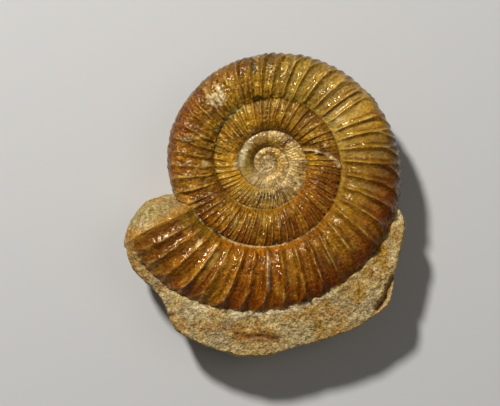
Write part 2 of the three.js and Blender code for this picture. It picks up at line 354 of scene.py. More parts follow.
# Millimetres travelled along the coil, and up the flank, for streaks that follow the ribs
flowStep = 5.0
flowTurns = np.arange(180, 2600, flowStep)  # from before the mouth to past the last whorl
flowLengths = np.cumsum(np.radians(flowStep) * widestRadius(flowTurns))


def flowPlace(turn, place):
    along = np.interp(turn + ribLean(turn, place), flowTurns, flowLengths)
    return along, place * 0.5 * (outerRadius(turn) - seamRadius(turn))


def foldShape(turn, place, plain):
    line = valueAt(np.hypot(plain[:, 0], plain[:, 1]), fold["line"])
    line = line + 0.5 * roughLumps(plain, 1.6, 2, shift=17.0)
    first, last = fold["reach"]
    inBand = smooth(place, 0.0, 0.1) * ((turn > first) & (turn < last))
    ridge = np.exp(-(((turn - line) / fold["width"]) ** 2)) * inBand
    ridge = ridge * np.clip(1 + fold["broken"] * roughLumps(plain, 0.9, 2, shift=19.0), 0, 1)
    groove = np.exp(-(((turn - line - fold["grooveAt"]) / fold["grooveWidth"]) ** 2)) * inBand
    return ridge, groove


# A closed mesh under construction: what each point is, and the faces between them
class Weave:
    def __init__(self):
        self.turns, self.places, self.sides = [], [], []
        self.count = 0
        self.faces = []
        self.middles = []

    def add(self, turn, place, side):
        turn, place = np.broadcast_arrays(np.asarray(turn, float), np.asarray(place, float))
        self.turns.append(turn.ravel())
        self.places.append(place.ravel())
        self.sides.append(np.full(turn.size, float(side)))
        self.count += turn.size
        return np.arange(self.count - turn.size, self.count).reshape(turn.shape)

    def strip(self, outer, inner, side):  # between two lines with as many points
        quads = np.stack([outer[:-1], outer[1:], inner[1:], inner[:-1]], axis=1)
        self.faces.extend((quads if side > 0 else quads[:, ::-1]).tolist())

    def lace(self, one, two, turned):  # between two lines with any number of points
        i = j = 0
        n, m = len(one) - 1, len(two) - 1
        while i < n or j < m:
            first = j == m or (i < n and (i + 1) * m <= (j + 1) * n)
            face = [one[i], one[i + 1], two[j]] if first else [one[i], two[j + 1], two[j]]
            if len(set(face)) == 3:
                self.faces.append([int(v) for v in (face[::-1] if turned else face)])
            if first:
                i += 1
            else:
                j += 1


shellMesh = {  # for the upper side, 1, and the lower, -1: one number per whorl
    "columns": {1: (880, 760, 560, 360, 220, 140), -1: (420, 380, 280, 180, 110, 70)},
    "rows": {1: (34, 24, 16, 10, 7, 5), -1: (8, 4, 3, 2, 2, 1)},
    "seamPower": 1.3,              # more than 1 sets the rows closer by the seam
    "outerRows": {1: 22, -1: 10},  # from the back to where the next whorl would cover it
    "middleRings": 3,
}


def weaveGrids(weave, side):  # rows on each whorl, from where the next one covers it down to its seam
    columns, rows = shellMesh["columns"][side], shellMesh["rows"][side]
    grids = []
    for k in range(len(rows)):
        innermost = k == len(rows) - 1
        turns = coil["mouth"] + 360 * (k + np.arange(columns[k] + innermost) / columns[k])
        shares = 1 - (1 - np.arange(rows[k] + innermost) / rows[k]) ** shellMesh["seamPower"]
        grids.append(weave.add(turns[None, :], coveredPlace(turns)[None, :] * (1 - shares[:, None]), side))
    grids[-1][0, -1] = grids[-1][-1, 0]  # where the last seam has gone once round
    return grids


def weaveBack(weave, side, back, grids):  # the outer half of the last whorl, and the mouth's rim
    columns, rows = shellMesh["columns"][side][0], shellMesh["outerRows"][side]
    ends = coil["mouth"] + 360 * np.arange(columns + 1) / columns
    outward = 1 - np.arange(1, rows) / rows
    covered = coveredPlace(ends)[None, :]
    outer = weave.add(ends[None, :], covered + (2 - covered) * outward[:, None], side)
    outer = np.vstack([outer, np.append(grids[0][0], grids[1][0, 0])])
    weave.lace(back, outer[0], side < 0)
    for upper, lower in zip(outer[:-1], outer[1:]):
        weave.strip(upper, lower, side)
    mouthRim = np.concatenate([back[:1], outer[:-1, 0], grids[0][:, 0], grids[1][0, :1]])
    weave.lace(mouthRim, np.append(back[-1], outer[:, -1]), side < 0)


def weaveFlanks(weave, side, grids):  # each whorl's flank, down to the back of the one inside it
    whorls = len(grids)
    for k, grid in enumerate(grids):
        for upper, lower in zip(grid[:-1], grid[1:]):
            weave.strip(upper, lower, side)
        if k + 1 < whorls:
            inner = grids[k + 1][0][:shellMesh["columns"][side][k + 1]]
            weave.lace(grid[-1], inner, side < 0)
            start = grids[k + 1][:, 0]
            if k + 2 < whorls:
                start = np.append(start, grids[k + 2][0, 0])
            weave.lace(np.append(grid[:, -1], inner[-1]), start, side > 0)


def weaveMiddle(weave, side, grid):  # rings drawn in from the last seam over the worn middle
    rings = [np.concatenate([grid[-1], grid[-2:0:-1, -1]])]
    for ring in range(1, shellMesh["middleRings"]):
        rings.append(weave.add(np.full(len(rings[0]), -1.0), ring / shellMesh["middleRings"], side))
    for upper, lower in zip(rings[:-1], rings[1:]):
        weave.strip(np.append(upper, upper[0]), np.append(lower, lower[0]), side)
    centre = int(weave.add([-1.0], 1.0, side)[0])
    for a, b in zip(rings[-1], np.roll(rings[-1], -1)):
        weave.faces.append([int(a), int(b), centre] if side > 0 else [int(b), int(a), centre])
    weave.middles.append((rings, centre, side))


def weaveShell():
    weave = Weave()
    steps = shellMesh["columns"][1][0]
    back = weave.add(coil["mouth"] + 360 * np.arange(steps + 1) / steps, 2.0, 1)
    for side in (1, -1):
        grids = weaveGrids(weave, side)
        weaveBack(weave, side, back, grids)
        weaveFlanks(weave, side, grids)
        weaveMiddle(weave, side, grids[-1])
    return weave


def plainSurface(turn, place):  # radius and height on the plain section, and the way out of it
    nudge = 0.01
    radius, height = section(turn, place)
    r0, z0 = section(turn, np.maximum(place - nudge, 0))
    r1, z1 = section(turn, np.minimum(place + nudge, 2))
    length = np.hypot(r1 - r0, z1 - z0)
    return radius, height, (z0 - z1) / length, (r1 - r0) / length


def pits(plain):
    return roughLumps(plain, 1.3, 3, shift=15.0)


def surfaceGrain(turn, plain, flow):
    grain = wear["waves"] * roughLumps(plain, 2.6, 3) + wear["grain"] * roughLumps(plain, 0.75, 3, shift=9.0)
    grain = grain + wear["streaks"] * roughLumps(flow / (0.6, 2.8, 1), 1, 2)
    grain = grain + valueAt(turn, wear["worn"]) * pits(plain)
    whorlSize = outerRadius(turn) / coil["radii"][1]
    return grain * smooth(whorlSize, 0.05, 0.4)


def crumbShare(turn, side, plain):  # bits of stone on the upper side, along the stone's edge
    crumbs = smooth(pastEdge(plain), -0.035, 0.0) * (side > 0) * (turn < wear["crumbsEnd"])
    return crumbs * smooth(roughLumps(plain, 0.8, 3, shift=23.0), -0.05, 0.25)


def growShell(weave):
    turn = np.concatenate(weave.turns)
    place = np.concatenate(weave.places)
    side = np.concatenate(weave.sides)
    onCoil = turn > 0  # the rings in the worn middle are placed last
    turn = np.where(onCoil, turn, coil["mouth"])
    place = np.where(onCoil, place, 0)
    radius, height, outR, outZ = plainSurface(turn, place)
    a = np.radians(turn)
    plain = np.stack([radius * np.cos(a), radius * np.sin(a), side * height], axis=1)

    ribHeight, shape, number, aside = ribLift(turn, place, plain)
    sideApart = 8 * side  # the two sides have streaks of their own
    flow = np.stack(flowPlace(turn, place) + (sideApart,), axis=1)
    ridge, groove = foldShape(turn, place, plain)
    crumbs = crumbShare(turn, side, plain)
    lift = ribHeight * shape * (1 - 0.5 * groove) + fold["rise"] * ridge - fold["groove"] * groove
    lift = lift + surfaceGrain(turn, plain, flow) + wear["crumbs"] * crumbs
    flat = wear["flatShare"] * (1 - smooth(np.hypot(plain[:, 0], plain[:, 1]), *wear["flatRadii"]))
    radius = radius + lift * outR
    height = mix(np.where(place < 2, height + lift * outZ, 0), wear["flatHeight"], flat)
    points = np.stack([radius * np.cos(a), radius * np.sin(a), side * height], axis=1)

    for rings, centre, middleSide in weave.middles:
        middle = np.array([0, 0, middleSide * coil["middleHeight"]])
        for ring, ids in enumerate(rings[1:], 1):
            points[ids] = mix(points[rings[0]], middle, ring / shellMesh["middleRings"])
        points[centre] = middle
    turn = np.where(onCoil, turn, flowTurns[-1])
    facts = {
        "turn": turn, "place": place, "number": number, "shape": shape, "aside": aside, "flow": flow,
        "plain": plain, "ridge": ridge, "groove": groove, "onCoil": onCoil, "crumbs": crumbs, "flat": flat,
    }
    return points, facts


def makeObject(name, points, faces, colours, dull, grain, flow=None):
    mesh = bpy.data.meshes.new(name)
    inBox = np.clip((points + coil["middle"]) * mm, *cadBox)  # nothing stands out of the plain solids' box
    mesh.from_pydata(inBox, [], faces)
    mesh.validate()
    paint = mesh.color_attributes.new("paint", "FLOAT_COLOR", "POINT")
    paint.data.foreach_set("color", np.c_[colours, dull].ravel())
    mesh.attributes.new("grain", "FLOAT", "POINT").data.foreach_set("value", grain)
    if flow is not None:
        mesh.attributes.new("flow", "FLOAT_VECTOR", "POINT").data.foreach_set("vector", flow.ravel())
    mesh.shade_smooth()
    piece = bpy.data.objects.new(name, mesh)
    bpy.context.scene.collection.objects.link(piece)
    return piece


# Colour of the shell: bands along the coil, then stains, worn places, and painted light and shade
shellPaint = {
    "bands": [  # turn angle, tone by the seam, tone by the back
        (209, "umber", "umber"), (222, "umber", "umber"), (240, "amber", "rust"),
        (300, "amber", "rust"), (330, "honey", "rust"), (350, "honey", "rust"),
        (368, "gold", "umber"), (385, "straw", "gold"), (395, "straw", "straw"), (412, "brass", "straw"),
        (432, "brass", "brass"), (455, "gold", "olive"), (480, "gold", "honey"), (500, "honey", "amber"),
        (545, "honey", "amber"),
        (569, "umber", "umber"), (585, "honey", "rust"), (630, "honey", "rust"),
        (675, "amber", "rust"), (700, "amber", "rust"), (720, "gold", "umber"),
        (765, "honey", "honey"), (810, "gold", "olive"),
        (900, "gold", "olive"), (925, "gold", "honey"), (960, "straw", "gold"),
        (1020, "bone", "straw"), (1080, "bone", "straw"), (1140, "straw", "bone"),
        (1200, "honey", "bone"), (1260, "brass", "straw"), (1300, "bone", "bone"),
        (1450, "straw", "bone"), (1650, "bone", "bone"),
    ],
    "light": [  # turn angle, how light: the shell's own tone along the coil, with painted light and shade in it
        (209, 1.1), (222, 1.04), (245, 0.9), (270, 0.82), (300, 0.63), (330, 0.77), (355, 0.68),
        (375, 0.76), (392, 1.02), (415, 0.81), (430, 0.79), (450, 0.74), (480, 0.74), (500, 0.78),
        (520, 0.76), (545, 0.82), (569, 0.93), (585, 0.86), (630, 0.77), (675, 0.68), (700, 0.72),
        (720, 0.9), (765, 0.76), (810, 0.84), (855, 1.1), (900, 1.14), (925, 1.1), (960, 0.66),
        (1020, 0.7), (1080, 0.9), (1140, 0.9), (1200, 0.58), (1260, 0.57), (1300, 0.78), (1450, 0.9),
        (1650, 0.82), (2400, 0.79),
    ],
    "lipHighlights": [  # angle, how pale the painted highlight on the rim by the seam is
        (209, 1), (228, 0.9), (250, 0.8), (325, 0.75), (340, 0.4), (365, 0.2), (400, 0.1), (569, 0.1),
        (590, 0.75), (640, 0.6), (700, 0.35), (740, 0.1), (929, 0.1), (945, 0.35), (1050, 0.3), (1090, 0.1),
    ],
    "edgeShadows": [  # angle, how dark the painted shadow is on the edge where the next whorl lies against it
        (569, 0.4), (578, 0.95), (600, 0.95), (650, 0.8), (670, 0.5), (700, 0.4), (830, 0.3), (860, 0.5),
    ],
    "tops": [(209, 0.2), (235, 0.35), (262, 0.6)],  # angle, how pale the crests are
    "rubbed": [  # angle, how white the tops of the crests are rubbed
        (209, 0.15), (228, 0.3), (242, 0.45), (260, 0.45), (325, 0.5), (342, 0.8), (385, 0.8), (400, 0.5),
        (569, 0.4), (930, 0.2),
    ],
    "backPaintedShade": [(335, 0), (350, 0.25), (480, 0.3), (560, 0.4)],  # angle, how much painted shade darkens the very back
    "between": [  # angle, how strong the painted sheen is: a milky reflection on the middle of the way between two ribs
        (335, 0), (352, 0.4), (440, 0.4), (460, 0),
    ],
    "seamBand": [  # angle, how pale a wider band by the seam is
        (325, 0), (345, 0.5), (400, 0.5), (425, 0.2), (440, 0),
    ],
    "tipGlints": [  # angle, how strong the painted glints on the crests at the very back are
        (440, 0), (458, 0.7), (530, 0.7), (545, 0),
    ],
    "dull": [  # angle, how much rougher than the varnish elsewhere
        (940, 0), (1000, 0.06), (1060, 0.1), (2400, 0.12),
    ],
    "grain": [  # angle, how strong the grain is
        (240, 0.85), (262, 1), (300, 1), (322, 0.85), (340, 0.65), (372, 0.62), (400, 0.8),
        (430, 0.95), (465, 1.05), (1130, 1.05), (1190, 0.65), (1280, 0.65), (1340, 1.05),
    ],
    "crisp": [  # angle, how far the crests are rubbed white between black grooves
        (838, 0), (850, 0.5), (872, 0.5), (888, 0), (940, 0), (965, 0.35), (980, 0.8), (1000, 1),
        (1025, 0.8), (1040, 0.2), (1060, 0),
    ],
    "bare": ("bone", "chalk", "ash", "sage", "moss"),  # tones of stone or dirt, with no varnish over them
    "stains": [  # angle, radius, half length, half width, tone, strength
        (98, 20.8, 0.6, 2.4, "moss", 0.9),
        (96.5, 22.4, 1.1, 0.8, "bone", 0.9),
        (98.5, 13.3, 0.8, 0.7, "moss", 0.8),
        (131.2, 18.1, 0.7, 1.0, "chalk", 0.9),
        (132.5, 16.3, 0.6, 1.1, "chalk", 0.9),
        (127.6, 16.8, 0.55, 1.3, "chalk", 0.85),
        (123.3, 18.0, 0.5, 1.0, "chalk", 0.8),
        (123.3, 16.4, 0.8, 0.9, "chalk", 0.9),
        (128.0, 17.3, 2.2, 0.35, "bone", 0.8),
        (208, 17.6, 1.6, 0.7, "straw", 0.6),
        (214, 19.8, 3.0, 1.9, "olive", 0.6),
        (223, 19.0, 3.0, 1.3, "olive", 0.6),
        (232, 18.6, 3.0, 1.0, "olive", 0.5),
        (190, 4.0, 2.5, 0.8, "brass", 0.6),
        # pale shell, with a painted highlight where the lamp glosses the whorl's thickest part
        (158, 5.1, 2.2, 0.6, "chalk", 0.95),
        (322, 7.6, 1.3, 0.5, "bone", 0.8),
        (331, 6.9, 1.0, 0.6, "bone", 0.8),
        (325, 7.0, 0.25, 0.3, "dark", 0.9),
        (333, 7.6, 0.25, 0.25, "dark", 0.9),
        (340, 7.0, 0.3, 0.25, "dark", 0.9),
        (318, 6.5, 0.2, 0.3, "dark", 0.8),
        (33, 6.0, 0.35, 0.4, "dark", 0.9),
        (49.5, 5.7, 0.35, 1.3, "dark", 0.95),
        (51, 4.8, 0.7, 0.4, "umber", 0.7),
        (40, 6.2, 0.8, 0.7, "bone", 0.8),
        # a painted highlight: a glint
        (233, 3.8, 0.5, 0.35, "chalk", 0.8),
        (265, 3.6, 0.35, 0.4, "bone", 0.7),
        (34, 24.5, 0.7, 3.0, "brass", 0.7),
        (119, 12.6, 2.4, 0.4, "sage", 0.75),
        (140, 12.3, 2.6, 0.4, "sage", 0.75),
        (162, 11.9, 2.0, 0.35, "sage", 0.5),
        (164, 17.4, 0.8, 1.5, "moss", 0.55),
        (181, 12.6, 0.9, 0.9, "bone", 0.5),
        (36, 24.6, 0.7, 0.5, "bone", 0.6),
        (141, 15.3, 2.6, 0.5, "dark", 0.55),
        (112, 14.2, 2.0, 0.5, "moss", 0.5),
        (130, 14.3, 2.0, 0.5, "olive", 0.6),
        (150, 5.6, 4.5, 0.8, "bone", 0.75),
        (235, 31.0, 6.0, 2.0, "rust", 0.4),
        (262, 29.5, 8.0, 2.6, "rust", 0.5),
        (290, 28.0, 9.0, 3.2, "rust", 0.75),
        (315, 27.0, 8.0, 3.2, "rust", 0.6),
        (340, 26.0, 5.0, 2.6, "rust", 0.5),
        (332, 27.0, 7.0, 1.3, "bark", 0.35),
        (321, 28.5, 2.6, 2.2, "bark", 0.5),
        (229.4, 21.2, 0.35, 1.3, "bone", 0.8),
        (237.7, 20.4, 0.3, 0.9, "bone", 0.7),
        (240.6, 22.8, 0.6, 2.2, "straw", 0.5),
        (240, 26.5, 0.7, 2.4, "ochre", 0.5),
        (234.5, 29.6, 0.8, 1.8, "ochre", 0.4),
        (270.5, 22.5, 0.45, 3.2, "ash", 0.5),
        (274.5, 25.4, 0.8, 1.3, "gold", 0.8),
        (281.8, 27.3, 0.6, 0.9, "gold", 0.6),
        (291, 21.9, 0.5, 0.9, "gold", 0.7),
        (315, 24.0, 1.7, 1.2, "gold", 0.55),
        (302, 22.5, 0.5, 2.6, "straw", 0.45),
        (24, 24.6, 1.0, 1.1, "rust", 0.7),
        (148, 19.6, 7.0, 1.9, "rust", 0.4),
        (118, 20.6, 6.0, 1.8, "rust", 0.3),
        (90, 21.4, 6.0, 1.8, "umber", 0.3),
        (0, 26.8, 6.0, 2.6, "umber", 0.25),
        (158, 18.4, 1.0, 1.2, "rust", 0.6),
        (166, 20.0, 1.2, 1.0, "rust", 0.6),
        # painted shadow under the second whorl's edge, by the seam
        (234.5, 17.7, 1.4, 0.25, "dark", 0.9),
        (241, 17.1, 1.6, 0.3, "dark", 0.9),
        (275.5, 16.15, 1.0, 0.25, "moss", 0.9),
        (32, 15.3, 2.2, 0.7, "sage", 0.35),
        (12, 15.9, 2.6, 0.5, "sage", 0.2),
        (355, 12.4, 3.0, 2.4, "umber", 0.6),
        (28, 23.6, 0.5, 0.6, "gold", 0.8),
        (31.4, 16.9, 0.45, 1.1, "bone", 0.6),
        # a painted highlight: a glint band
        (36.6, 19.0, 0.3, 1.8, "bone", 0.5),
        (200, 19.5, 1.3, 0.9, "ochre", 0.7),
        (205.5, 18.4, 1.3, 0.9, "ochre", 0.7),
        (242, 13.7, 0.5, 0.8, "sage", 0.6),
        (246, 13.2, 0.4, 0.7, "straw", 0.6),
        # painted highlights: glints on the crests
        (266, 12.4, 0.4, 1.2, "straw", 0.6),
        (281, 12.2, 0.3, 1.3, "bone", 0.6),
        (12, 11.4, 0.9, 0.8, "bark", 0.8),
        (17, 12.2, 0.7, 0.5, "bone", 0.7),
        (13.5, 10.2, 0.6, 0.4, "chalk", 0.7),
    ],
}


def bandColours(turn, place):
    turns, bySeam, byBack = zip(*shellPaint["bands"])
    colours = []
    for names in (bySeam, byBack):
        table = np.array([tone(name) for name in names])
        colours.append(np.stack([np.interp(turn, turns, table[:, c]) for c in range(3)], axis=1))
    return mix(*colours, smooth(place, 0.5, 1.7)[:, None])


def twoTones(colours, value, high, low, strength, start, full):  # one where it is high, one where it is low
    colours = blend(colours, high, strength * smooth(value, start, full))
    return blend(colours, low, strength * smooth(-value, start, full))


def paintGround(facts):
    turn, place, plain, wobble = (facts[name] for name in ("turn", "place", "plain", "wobble"))
    colours = bandColours(turn + 12 * wobble, place + 0.4 * wobble)
    # the way between two ribs has its own shade
    way = np.clip(np.floor(facts["number"]).astype(int), 0, ribCount - 1)
    shade = ribShades[way] * smooth(place, 0.1, 0.5) + 0.3 * wobble
    colours = twoTones(colours, shade, "umber", "gold", 0.5, 0.1, 0.9)
    worn = valueAt(turn, wear["worn"]) / 0.2
    colours = twoTones(colours, pits(plain), "straw", "umber", 0.5 * worn, 0.1, 0.5)
    colours = twoTones(colours, roughLumps(plain, 2.4, 4, shift=5.0), "umber", "gold", 0.35, 0.12, 0.5)
    return blend(colours, "olive", 0.5 * smooth(facts["fleck"], 0.25, 0.6))


# Dark lines beside the crests, partly dirt settled in the grooves and partly painted shade; the crests are
# rubbed pale here and there
def paintRibs(colours, facts):
    turn, place, shape, plain = (facts[name] for name in ("turn", "place", "shape", "plain"))
    dirtAndShadeBeside = np.exp(-(((facts["aside"] - 1.5) / 0.6) ** 2))
    dirtAndShadeBeside = dirtAndShadeBeside * smooth(place, 0.08, 0.35) * (1 - 0.75 * smooth(place, 1.35, 1.7))
    colours = blend(colours, "bark", 0.75 * dirtAndShadeBeside * smooth(roughLumps(plain, 1.8, 3), -0.5, 0.3))
    tops = smooth(shape, 0.72, 0.95) * smooth(place, 0.1, 0.4) * valueAt(turn, shellPaint["tops"])
    colours = blend(colours, "straw", tops * smooth(roughLumps(plain, 1.0, 3, shift=6.0), -0.15, 0.25))
    # a painted sheen: milky reflection on the middle of the way between two ribs
    paintedSheen = smooth(facts["aside"], 1.6, 2.6) * window(place, 0.15, 0.4, 1.4, 1.65)
    paintedSheen = paintedSheen * smooth(roughLumps(plain, 2.6, 3, shift=29.0), -0.35, 0.25)
    colours = blend(colours, "cream", paintedSheen * valueAt(turn, shellPaint["between"]))
    crisp = valueAt(turn, shellPaint["crisp"]) * window(place, 0.35, 0.5, 0.95, 1.15)
    crisp = crisp * smooth(roughLumps(plain, 1.2, 2, shift=21.0), -0.5, 0.1)
    colours = blend(colours, "bone", 0.9 * crisp * smooth(shape, 0.45, 0.8))
    return blend(colours, "dark", 0.8 * crisp * (1 - smooth(shape, 0.1, 0.4)))


# Painted shade along the seam and a painted shadow under the next whorl's edge, a painted highlight on the
# lip beside the seam
def paintSeams(colours, facts):
    turn, place, wobble, fleck = (facts[name] for name in ("turn", "place", "wobble", "fleck"))
    seamShade = (1 - smooth(place, 0.02, 0.08)) * (1 - facts["flat"])
    colours = blend(colours, "dark", 0.6 * seamShade * facts["onCoil"])
    edge = smooth(place / coveredPlace(turn), 0.92, 1.0) * (turn > coil["mouth"] + 360)
    colours = blend(colours, "dark", valueAt(turn, shellPaint["edgeShadows"]) * edge)
    lipHighlight = smooth(place, 0.015, 0.035) * (1 - smooth(place + 0.05 * fleck, 0.06, 0.12))
    lipHighlight = lipHighlight * valueAt(turn, shellPaint["lipHighlights"])
    colours = blend(colours, "buff", lipHighlight * smooth(wobble + fleck, -0.4, 0.2))
    band = smooth(place, 0.03, 0.07) * (1 - smooth(place + 0.06 * fleck, 0.14, 0.26))
    return blend(colours, "straw", band * valueAt(turn, shellPaint["seamBand"]))


# The ridge, crests rubbed down to white, and painted glints on the crests at the very back
def paintRubbed(colours, facts):
    turn, place, shape, plain = (facts[name] for name in ("turn", "place", "shape", "plain"))
    colours = blend(colours, "bone", facts["ridge"])
    colours = blend(colours, "bark", 0.7 * facts["groove"])
    top = smooth(shape, 0.82, 0.98) * window(place, 0.12, 0.3, 1.5, 1.7)
    top = top * smooth(roughLumps(plain, 1.1, 3, shift=25.0), 0.0, 0.25)
    colours = blend(colours, "bone", top * valueAt(turn, shellPaint["rubbed"]))
    tipGlints = smooth(shape, 0.5, 0.9) * smooth(place, 1.6, 1.8) * valueAt(turn, shellPaint["tipGlints"])
    return blend(colours, "bone", tipGlints * smooth(facts["fleck"], -0.3, 0.2))


def paintShell(points, facts):
    turn, place, plain = facts["turn"], facts["place"], facts["plain"]
    facts["fleck"] = roughLumps(plain, 0.7, 3, shift=1.0)
    facts["wobble"] = roughLumps(plain, 4.0, 3, shift=2.0)
    wobble = facts["wobble"]
    colours = paintGround(facts)
    for paint in (paintRibs, paintSeams, paintRubbed):
        colours = paint(colours, facts)
    dull = valueAt(turn, shellPaint["dull"])
    upper = smooth(plain[:, 2] + 2 * wobble, -0.5, 2.0)  # the stains end on the back
    for angle, radius, along, across, name, strength in shellPaint["stains"]:
        stain = strength * around(points, angle, radius, along, across, 0.9) * upper
        colours = blend(colours, name, stain)
        if name in shellPaint["bare"]:
            dull = np.maximum(dull, 0.25 * stain)
    # painted light and shade along the coil, then painted shade on the very back
    light = valueAt(turn + 8 * wobble, shellPaint["light"])
    light = light * (1 - smooth(place, 1.3, 1.75) * valueAt(turn, shellPaint["backPaintedShade"]))
    colours = colours * light[:, None]
    rim = 1 - smooth(turn, coil["mouth"] + 0.6, coil["mouth"] + 3 + 1.5 * wobble)
    colours = blend(colours, "ochre", 0.7 * rim)
    colours = blend(colours, "buff", 0.8 * facts["crumbs"])
    dull = np.maximum(dull, 0.5 * facts["crumbs"])
    grain = valueAt(turn, shellPaint["grain"])
    grain = grain * (1 - 0.3 * smooth(roughLumps(plain, 5.0, 2, shift=27.0), 0, 0.4))
    return colours, dull, grain


print("growing the shell")
shellWeave = weaveShell()
shellPoints, shellFacts = growShell(shellWeave)
shell = makeObject("ribbed_shell", shellPoints, shellWeave.faces, *paintShell(shellPoints, shellFacts),
                   shellFacts["flow"])

# The stone: a block lofted round the outline and the mouth's filling, made one by a voxel remesh
stone = {  # mm, about the coil's middle
    "depth": 10.6,       # of the flat underside
    "outline": [
        (-21.2, -6.6), (-26, -9), (-28.8, -13.6), (-29, -17.4), (-28.5, -20), (-27.2, -22.4), (-22.4, -27),
        (-20.4, -31), (-18.6, -34.4), (-13.6, -37.2), (-7, -39.3), (-1.5, -39.8), (4.5, -38.4), (11, -36.4),
        (18.6, -33.8), (24.0, -30.0), (25.5, -27.6), (26.0, -24.6), (27.2, -18.5), (28.3, -12.5),
        (26.6, -8.6), (22.5, -1), (16.5, 7), (8, 12.5), (-1, 14.5), (-10, 11.5), (-16, 6), (-18.2, 0),
        (-18.6, -4.6), (-19.4, -6.7),
    ],
    "stations": 240,     # points round it
    "floorShare": 0.8,   # how far out the flat underside reaches
    "sideShare": 0.955,  # and the side, a third of the way up
    "sideSlope": 0.04,   # how much less further down
    "rimHeight": 2.0,    # of the edge over the coil's middle plane
    "rimRound": 0.3,     # how far the edge is worn in
    "tucked": 1.6,       # how far the stone runs in under the shell
    "leastRise": 1.2,    # least height where it meets the shell
    "creep": 0.7,        # how much higher it stands there than the shell's side
    "sunkShare": 0.85,   # below a bare stretch of shell the top starts this far out
    "sunkDepth": 0.75,   # and lies so many half thicknesses down
    "fillLength": 12,    # degrees that the mouth's filling domes out
    "fillPower": 1.7,    # how blunt the dome is
    "fillHeight": 0.97,  # share of the mouth's height that it takes up
    "fillSteps": (0.98, 0.93, 0.85, 0.75, 0.6, 0.45, 0.3, 0.15, 0, -0.2),  # of its rings, from the tip in
    "fillReach": (17, 19, 32, 34.5),       # radii that its surface lies between, with soft ends
    "fillBearing": (188, 193, 212, 215),   # and bearings
    "paleBearing": (232, 250, 284, 302),   # where the teeth against the shell are palest, pale grains with painted light against the shell's shadow
    "light": 0.8,
    "voxel": 0.33,
    "lumps": 0.4,        # heights of the roughness, from coarse to fine
    "knobs": 0.24,
    "grains": 0.2,
    "teeth": 0.3,        # and of the ragged edge against the shell
    "cracks": [  # points on the way, half width, depth, tone of the rust stain and painted shade in the crack
        ([(25.7, -23.6), (24.6, -25.9), (24.2, -27.4), (23.3, -28.7), (22.5, -29.8)], 0.5, 1.5, "stain"),
        ([(-6.2, -35.0), (-4.0, -35.5), (-1.0, -35.3), (2.2, -36.0)], 0.5, 0.3, "stain"),
        ([(-20.6, -31.4), (-19.4, -31.0)], 0.5, 0.7, "stain"),
    ],
    "stains": [  # x, y, half length, half width, tone, strength
        (-19.5, -5.6, 2.2, 1.0, "ochre", 0.6),
        (-22.0, -7.6, 2.4, 0.7, "ochre", 0.4),
        (-27.8, -11.5, 0.9, 1.2, "sage", 0.5),
        (-25.6, -10.2, 1.4, 0.7, "sage", 0.3),
        (-22.6, -10.4, 1.8, 0.8, "sage", 0.3),
        (-24.6, -14.0, 1.4, 0.8, "sage", 0.4),
        (-27.6, -18.0, 0.9, 1.6, "ochre", 0.7),
        (-22.0, -12.6, 3.2, 0.7, "ochre", 0.4),
        (-25.5, -12.4, 2.2, 1.2, "ash", 0.4),
        (-24.0, -13.0, 3.0, 1.2, "bone", 0.35),
        (-2.0, -35.0, 5.5, 1.2, "ochre", 0.7),
        (-2.0, -35.8, 4.6, 0.8, "stain", 0.75),
        (-12.0, -33.4, 3.0, 1.0, "ochre", 0.5),
        (-9.0, -34.2, 4.0, 2.0, "stain", 0.3),
        (8.0, -34.6, 3.5, 2.0, "bone", 0.5),
        (2.6, -33.4, 3.0, 0.9, "bone", 0.4),
        (5.0, -34.8, 4.0, 2.4, "bone", 0.6),
        (-27.0, -21.6, 1.2, 2.4, "ochre", 0.6),
        (20.3, -22.6, 1.6, 1.3, "ochre", 0.6),
        (21.8, -28.0, 2.4, 2.2, "ash", 0.6),
        (23.4, -19.6, 1.2, 3.6, "ochre", 0.6),
        (25.4, -13.0, 1.0, 3.0, "ochre", 0.55),
        (-24.2, -22.6, 1.6, 1.6, "ochre", 0.5),
        (-21.8, -25.0, 1.4, 1.4, "stain", 0.35),
        (26.4, -15.0, 0.7, 1.8, "ochre", 0.6),
        (25.0, -21.3, 1.2, 2.2, "ochre", 0.35),
        (25.6, -27.0, 0.5, 2.6, "bone", 0.7),
        (-20.8, -23.6, 1.2, 3.0, "ochre", 0.6),
        (14.0, -30.5, 4.0, 1.8, "ochre", 0.6),
        (10.6, -33.4, 1.3, 2.6, "gold", 0.85),
        (18.6, -26.4, 1.4, 3.0, "gold", 0.8),
        (23.4, -18.6, 1.2, 3.0, "gold", 0.8),
        (19.4, -31.3, 3.0, 1.2, "bone", 0.5),
        (25.8, -19.0, 1.2, 3.0, "bone", 0.45),
        # painted light along the lower edge
        (-8.0, -38.0, 6.0, 1.0, "bone", 0.65),
        (4.0, -37.6, 5.0, 1.0, "bone", 0.6),
        (27.0, -12.5, 1.2, 3.0, "bone", 0.4),
        (-18.0, -33.5, 3.0, 2.0, "ochre", 0.4),
    ],
}


def closedCurve(marks, steps):
    marks = np.array(marks, float)
    count = len(marks)
    fine = []
    for i in range(count):
        near = [marks[(i + step) % count] for step in (-1, 0, 1, 2)]
        for s in np.arange(0, 1, 0.05):
            fine.append(curveAt(s, *near))
    fine = np.array(fine + [marks[0]])
    travelled = np.r_[0, np.cumsum(np.hypot(*np.diff(fine, axis=0).T))]
    at = travelled[-1] * np.arange(steps) / steps
    return np.stack([np.interp(at, travelled, fine[:, axis]) for axis in range(2)], axis=1)


def loft(rings, ends):
    count = len(rings[0])
    points = np.concatenate([np.concatenate(rings), np.array(ends, float)])
    faces = []
    for k in range(len(rings) - 1):
        for i in range(count):
            j = (i + 1) % count
            faces.append([k * count + i, k * count + j, (k + 1) * count + j, (k + 1) * count + i])
    base = (len(rings) - 1) * count
    for i in range(count):
        j = (i + 1) % count
        faces.append([j, i, len(points) - 2])
        faces.append([base + i, base + j, len(points) - 1])
    return points, faces


